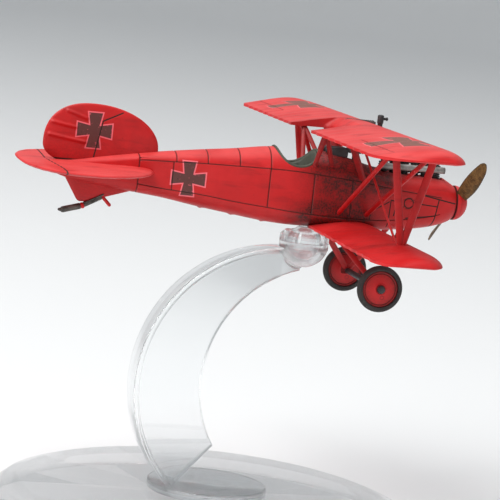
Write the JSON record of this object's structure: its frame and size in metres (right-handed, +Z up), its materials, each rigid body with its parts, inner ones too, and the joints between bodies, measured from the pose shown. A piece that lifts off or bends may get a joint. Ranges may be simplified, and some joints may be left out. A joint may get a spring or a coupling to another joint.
{
  "type": "biplane scale model",
  "caption": "Small painted biplane fighter model with turning propeller and wheels, held by a ball joint on a clear curved display stand.",
  "frame": {"origin": "centre of the round base's underside, on the arm's swivel axis", "axes": "+X towards the propeller, +Y to the aircraft's left, +Z up"},
  "size_m": [0.0535, 0.0624, 0.0485],
  "materials": {
    "clear_plastic": "clear polystyrene, polished",
    "red_paint": "satin red paint on moulded plastic, dark wash in the panel lines",
    "cockpit_green": "matt dark grey-green paint",
    "brown_leather": "matt brown paint",
    "black_paint": "matt black paint with dull metal edges",
    "steel_paint": "dull silver paint",
    "tyre_black": "matt black moulded tyre",
    "brown_wood_paint": "brown painted wood grain, satin"
  },
  "bodies": {
    "base": {"stand_base": "clear_plastic"},
    "arm": {"stand_arm": "clear_plastic", "socket_collar": "clear_plastic"},
    "ball": {"ball_stud": "clear_plastic"},
    "airframe": {"fuselage_left_half": "red_paint", "fuselage_right_half": "red_paint", "cockpit_tub": "cockpit_green", "pilot_seat": "brown_leather", "cockpit_coaming": "cockpit_green", "engine_block": "black_paint", "exhaust_manifold": "steel_paint", "machine_guns": "black_paint", "upper_wing": "red_paint", "wing_radiator": "black_paint", "radiator_header": "black_paint", "lower_wing_left": "red_paint", "lower_wing_right": "red_paint", "vee_strut_left": "red_paint", "vee_strut_right": "red_paint", "cabane_struts_left": "red_paint", "cabane_struts_right": "red_paint", "bracing_rods_left": "red_paint", "bracing_rods_right": "red_paint", "tailplane": "red_paint", "fin_and_rudder": "red_paint", "under_fin": "red_paint", "tail_skid": "black_paint", "undercarriage_strut_left": "red_paint", "undercarriage_strut_right": "red_paint", "axle": "black_paint", "axle_caps": "black_paint"},
    "propeller": {"propeller": "brown_wood_paint", "spinner": "red_paint", "propeller_shaft": "steel_paint"},
    "wheel_left": {"wheel_disc_left": "red_paint", "tyre_left": "tyre_black"},
    "wheel_right": {"wheel_disc_right": "red_paint", "tyre_right": "tyre_black"}
  },
  "joints": [
    {"name": "arm_swivel", "type": "hinge", "parent": "base", "child": "arm", "pos_m": [0, 0, 0.003], "axis": [0, 0, 1], "continuous": true},
    {"name": "ball_tilt", "type": "hinge", "parent": "arm", "child": "ball", "pos_m": [0.0085, 0, 0.033], "axis": [0, 1, 0], "range_deg": [-12, 12]},
    {"name": "heading", "type": "hinge", "parent": "ball", "child": "airframe", "pos_m": [0.0085, 0, 0.033], "axis": [0, 0, 1], "range_deg": [-105, 105]},
    {"name": "propeller_spin", "type": "hinge", "parent": "airframe", "child": "propeller", "pos_m": [0.02595, 0, 0.03905], "axis": [1, 0, 0], "continuous": true},
    {"name": "wheel_left_spin", "type": "hinge", "parent": "airframe", "child": "wheel_left", "pos_m": [0.016, 0.0072, 0.02925], "axis": [0, 1, 0], "continuous": true},
    {"name": "wheel_right_spin", "type": "hinge", "parent": "airframe", "child": "wheel_right", "pos_m": [0.016, -0.0072, 0.02925], "axis": [0, 1, 0], "continuous": true}
  ]
}
